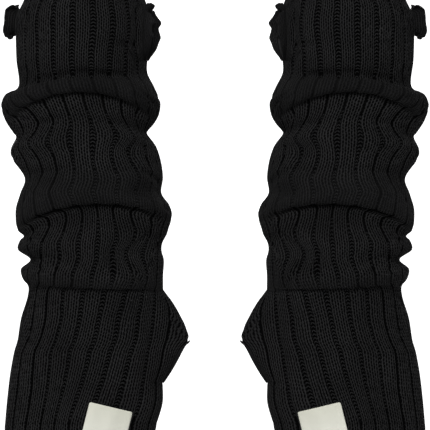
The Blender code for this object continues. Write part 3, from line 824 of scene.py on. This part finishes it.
def fibreGroup():
    # fine fuzz and slow blotches of yarn, as a height and a shade
    inputs = ["Vector", "Fibre Scale", "Blotch Scale"]
    group, given, put = newGroup("yarnFibres", inputs, ["Height", "Shade"])
    fine = addNode(group, "ShaderNodeTexNoise")
    fine.inputs["Detail"].default_value = 3.0
    slow = addNode(group, "ShaderNodeTexNoise")
    slow.inputs["Detail"].default_value = 2.0
    for noise, scale in ((fine, "Fibre Scale"), (slow, "Blotch Scale")):
        group.links.new(given.outputs["Vector"], noise.inputs["Vector"])
        group.links.new(given.outputs[scale], noise.inputs["Scale"])
    shade = maths(group, "ADD", maths(group, "MULTIPLY", slow.outputs["Fac"], yarn["blotches"]),
                  maths(group, "MULTIPLY", fine.outputs["Fac"], yarn["fuzz"]))
    group.links.new(fine.outputs["Fac"], put.inputs["Height"])
    group.links.new(shade, put.inputs["Shade"])
    return group


def stitchGroup():
    # columns of slanting yarn legs, a small hole beside each, and grooves between the ribs; the holes and
    # grooves are darkened with painted shade
    group, given, put = newGroup("knitStitches", ["Vector", "Legs", "Groove"], ["Height", "Painted Shade"])
    work, link = partial(maths, group), group.links.new
    times, plus, minus = (partial(work, kind) for kind in ("MULTIPLY", "ADD", "SUBTRACT"))
    split = addNode(group, "ShaderNodeSeparateXYZ")
    link(given.outputs["Vector"], split.inputs[0])
    legs = times(work("FRACT", split.outputs["X"]), given.outputs["Legs"])
    spot = addNode(group, "ShaderNodeCombineXYZ")
    link(times(split.outputs["X"], given.outputs["Legs"]), spot.inputs["X"])
    link(split.outputs["Y"], spot.inputs["Y"])
    noise = addNode(group, "ShaderNodeTexNoise")
    noise.inputs["Scale"].default_value = stitch["shiftScale"]
    noise.inputs["Detail"].default_value = 1.5
    link(spot.outputs[0], noise.inputs["Vector"])
    uneven = minus(noise.outputs["Fac"], 0.5)

    course = plus(split.outputs["Y"], times(uneven, stitch["courseShift"]))
    nearest = work("ROUND", legs)
    odd = times(work("PINGPONG", nearest, 1.0), 0.5)
    beside = plus(minus(legs, nearest), times(uneven, stitch["legShift"]))
    above = minus(work("FRACT", plus(course, odd)), 0.5)
    # the holes: a dip in the height, and painted shade in the colour
    wide = work("POWER", work("DIVIDE", beside, stitch["holeWidth"]), 2.0)
    tall = work("POWER", work("DIVIDE", above, stitch["holeHeight"]), 2.0)
    hole = minus(1.0, plus(wide, tall), clamp=True)
    strength = plus(stitch["holeStrength"], times(uneven, stitch["strengthChange"]))
    hole = times(hole, strength, clamp=True)

    swing = times(work("SINE", times(legs, math.pi)), work("COSINE", times(course, 2 * math.pi)))
    strand = plus(legs, times(swing, stitch["strandSwing"]))
    ridge = work("ABSOLUTE", work("SINE", times(strand, math.pi)))
    ridge = work("POWER", ridge, stitch["strandRoundness"])
    # painted shade along the grooves between the ribs, where the Groove input is on
    toGroove = work("MINIMUM", legs, minus(given.outputs["Legs"], legs))
    groove = minus(stitch["grooveWidth"], toGroove)
    groove = times(groove, stitch["grooveSharpness"], clamp=True)
    groove = times(groove, given.outputs["Groove"])
    link(minus(ridge, times(hole, stitch["holeDepth"])), put.inputs["Height"])
    link(work("MAXIMUM", hole, groove), put.inputs["Painted Shade"])
    return group


def newMaterial(name, look):
    material = bpy.data.materials.new(name)
    material.use_nodes = True
    shader = material.node_tree.nodes["Principled BSDF"]
    shader.inputs["Roughness"].default_value = look["roughness"]
    shader.inputs["Specular IOR Level"].default_value = look["specular"]
    if "sheen" in look:
        shader.inputs["Sheen Weight"].default_value = look["sheen"]
        shader.inputs["Sheen Roughness"].default_value = look["sheenRoughness"]
    return material, material.node_tree, shader


def setColour(tree, shader, dark, light, factor):
    mix = addNode(tree, "ShaderNodeMix", data_type="RGBA")
    mix.inputs["A"].default_value = (*dark, 1)
    mix.inputs["B"].default_value = (*light, 1)
    tree.links.new(factor, mix.inputs["Factor"])
    tree.links.new(mix.outputs["Result"], shader.inputs["Base Color"])


def placeFibres(tree, fibres):
    coordinates = addNode(tree, "ShaderNodeTexCoord")
    node = addNode(tree, "ShaderNodeGroup", node_tree=fibres)
    tree.links.new(coordinates.outputs["Object"], node.inputs["Vector"])
    node.inputs["Fibre Scale"].default_value = yarn["fibreScale"]
    node.inputs["Blotch Scale"].default_value = yarn["blotchScale"]
    return node


def addBump(tree, shader, height, distance, before=None):
    bump = addNode(tree, "ShaderNodeBump")
    bump.inputs["Distance"].default_value = distance * mm
    tree.links.new(height, bump.inputs["Height"])
    if before:
        tree.links.new(before.outputs["Normal"], bump.inputs["Normal"])
    tree.links.new(bump.outputs["Normal"], shader.inputs["Normal"])
    return bump


def knitMaterial(name, fibres, stitches, grooves):
    # painted shade in the stitch holes and grooves; where the piece's relief attribute is low, if the piece
    # has grooves, it fades and an even painted shade of smooth cloth takes its place
    material, tree, shader = newMaterial(name, yarn)
    times, plus, minus = (partial(maths, tree, kind) for kind in ("MULTIPLY", "ADD", "SUBTRACT"))
    fuzz = placeFibres(tree, fibres)
    uv = addNode(tree, "ShaderNodeUVMap", uv_map="knit")
    knitted = addNode(tree, "ShaderNodeGroup", node_tree=stitches)
    tree.links.new(uv.outputs["UV"], knitted.inputs["Vector"])
    knitted.inputs["Legs"].default_value = float(knit["legsPerRib"] + 2)
    knitted.inputs["Groove"].default_value = float(grooves)
    dark = knitted.outputs["Painted Shade"]
    if grooves:
        # where relief is low, the holes' and grooves' painted shade gives way to an even painted shade of
        # smooth cloth
        relief = addNode(tree, "ShaderNodeAttribute", attribute_name="relief").outputs["Fac"]
        smooth = times(minus(1.0, relief), yarn["smoothPaintedShade"])
        dark = plus(times(dark, relief), smooth)
    else:
        # the frills take half the holes' painted shade and an even painted shade over all of them
        ofHoles, ofItself = stitch["frillPaintedShade"]
        dark = plus(times(dark, ofHoles), ofItself)
    # painted shade darkens the yarn colour towards the deep colour, on top of the fibres' random tone
    light = times(minus(1.0, dark), fuzz.outputs["Shade"])
    setColour(tree, shader, yarn["deepColour"], yarn["colour"], light)
    depth = stitch["bump" if grooves else "frillBump"]
    stitchBump = addBump(tree, shader, knitted.outputs["Height"], depth)
    addBump(tree, shader, fuzz.outputs["Height"], yarn["fuzzBump"], before=stitchBump)
    return material


def yarnMaterial(name, fibres, colour):
    material, tree, shader = newMaterial(name, yarn)
    fuzz = placeFibres(tree, fibres)
    setColour(tree, shader, yarn["deepColour"], colour, fuzz.outputs["Shade"])
    addBump(tree, shader, fuzz.outputs["Height"], yarn["plainBump"])
    return material


def weaveMaterial(name, fibres):
    # a tight plain weave, in threads along both sides of the label
    material, tree, shader = newMaterial(name, weave)
    work = partial(maths, tree)
    times = partial(work, "MULTIPLY")
    fuzz = placeFibres(tree, fibres)
    uv = addNode(tree, "ShaderNodeUVMap", uv_map="knit")
    split = addNode(tree, "ShaderNodeSeparateXYZ")
    tree.links.new(uv.outputs["UV"], split.inputs[0])
    turns = weave["threadsPerMm"] * math.pi
    warp, weft = (work("SINE", times(split.outputs[way], turns)) for way in "XY")
    height = times(warp, weft)
    down = work("DIVIDE", split.outputs["Y"], label["height"])
    shade = times(down, weave["paling"], clamp=True)
    setColour(tree, shader, weave["colour"], weave["paleColour"], shade)
    weaveBump = addBump(tree, shader, height, weave["bump"])
    addBump(tree, shader, fuzz.outputs["Height"], weave["fuzzBump"], before=weaveBump)
    return material


# Camera, light and floor

studio = {
    "centre": (0, 0, -0.10385),  # the middle of the photograph
    "frameWidth": 0.2881,
    "distance": 5,
    "sensor": 36,
    "floorZ": -0.75,
    "floorSize": 16,
    "floorColour": (0.85, 0.85, 0.85),
    "backdropColour": (0.9, 0.9, 0.9),
    "roughness": 0.9,
    "specular": 0.2,
    "clipEnd": 60,
    "worldStrength": 0.36,
    "backdropY": 9,
    "lights": {  # the place, the size and the power of each
        "keyLight": ((-0.35, -1.95, 1.5), 0.7, 42),
        "leftLight": ((-1.7, -1.2, 0.4), 0.8, 5),
        "rightLight": ((1.7, -1.2, 0.4), 0.8, 5),
    },
}


def setCamera():
    data = bpy.data.cameras.new("camera")
    data.sensor_width = studio["sensor"]
    data.lens = studio["sensor"] * studio["distance"] / studio["frameWidth"]
    data.clip_end = studio["clipEnd"]
    camera = bpy.data.objects.new("camera", data)
    x, y, z = studio["centre"]
    camera.location = (x, y - studio["distance"], z)
    camera.rotation_euler = (math.pi / 2, 0, 0)
    bpy.context.scene.collection.objects.link(camera)
    bpy.context.scene.camera = camera


def addLight(name, place, size, power):
    data = bpy.data.lights.new(name, "AREA")
    data.size = size
    data.energy = power
    light = bpy.data.objects.new(name, data)
    light.location = place
    x, y, z = (a - b for a, b in zip(place, studio["centre"]))
    fromUpright = math.acos(z / math.sqrt(x * x + y * y + z * z))
    light.rotation_euler = (fromUpright, 0, math.atan2(y, x) + math.pi / 2)
    bpy.context.scene.collection.objects.link(light)


def plainMaterial(name, colour):
    material, tree, shader = newMaterial(name, studio)
    shader.inputs["Base Color"].default_value = (*colour, 1)
    return material


def addSheet(name, place, turned, material):
    bpy.ops.object.select_all(action="DESELECT")
    bpy.ops.mesh.primitive_plane_add(size=studio["floorSize"], location=place, rotation=turned)
    sheet = bpy.context.object
    sheet.name = name
    sheet.data.transform(sheet.matrix_world)
    sheet.matrix_world.identity()
    sheet.data.materials.append(material)
    return sheet


def setStudio():
    world = bpy.data.worlds.new("paleStudio")
    world.use_nodes = True
    sky = world.node_tree.nodes["Background"].inputs
    sky["Color"].default_value = (1, 1, 1, 1)
    sky["Strength"].default_value = studio["worldStrength"]
    bpy.context.scene.world = world
    bpy.context.scene.view_settings.view_transform = "Standard"
    for name, (place, size, power) in studio["lights"].items():
        addLight(name, place, size, power)
    paint = plainMaterial("paleFloor", studio["floorColour"])
    floor = addSheet("floor", (0, 0, studio["floorZ"]), (0, 0, 0), paint)
    glow = plainMaterial("whiteBackdrop", studio["backdropColour"])
    shader = glow.node_tree.nodes["Principled BSDF"]
    shader.inputs["Emission Color"].default_value = (1, 1, 1, 1)
    shader.inputs["Emission Strength"].default_value = 1.0
    backdrop = addSheet("backdrop", (0, studio["backdropY"], 0), (math.pi / 2, 0, 0), glow)


def makeSleeve(side, mirrored, finishes):
    tube = knitTube(f"{side}Tube", sleeveRings, mirrored, finishes["knit"])
    print(f"{side} tube: {len(tube.data.polygons)} faces")
    loops = purlLoops(f"{side}PurlLoops", sleeveRings, mirrored, finishes["loops"])
    band = knitTube(f"{side}HemBand", bandRings, mirrored, finishes["knit"])
    bound = thumbBinding(f"{side}ThumbBinding", mirrored, finishes["yarn"])
    outerFrill = frill(f"{side}OuterFrill", slits[0], mirrored, finishes["frill"])
    innerFrill = frill(f"{side}InnerFrill", slits[1], mirrored, finishes["frill"])
    patch = wovenLabel(f"{side}Label", mirrored, finishes["weave"])
    print(f"{side} loops, band, binding, frills and label made")

    nodes = {"tube": tube, "hem_band": band, "thumb_binding": bound,
             "outer_frill": outerFrill, "inner_frill": innerFrill}
    for node, piece in nodes.items():
        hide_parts(f"{side}_{node}")
    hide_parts(f"{side}_label")


setCamera()
setStudio()
fibres, stitches = fibreGroup(), stitchGroup()
finishes = {
    "knit": knitMaterial("blackRibKnit", fibres, stitches, grooves=True),
    "frill": knitMaterial("blackFrillKnit", fibres, stitches, grooves=False),
    "yarn": yarnMaterial("blackYarn", fibres, yarn["edgeColour"]),
    "loops": yarnMaterial("blackLoops", fibres, yarn["loopColour"]),
    "weave": weaveMaterial("creamWeave", fibres),
}
print("camera, light and materials set")
makeSleeve("left", False, finishes)
makeSleeve("right", True, finishes)
print("sleeves made")
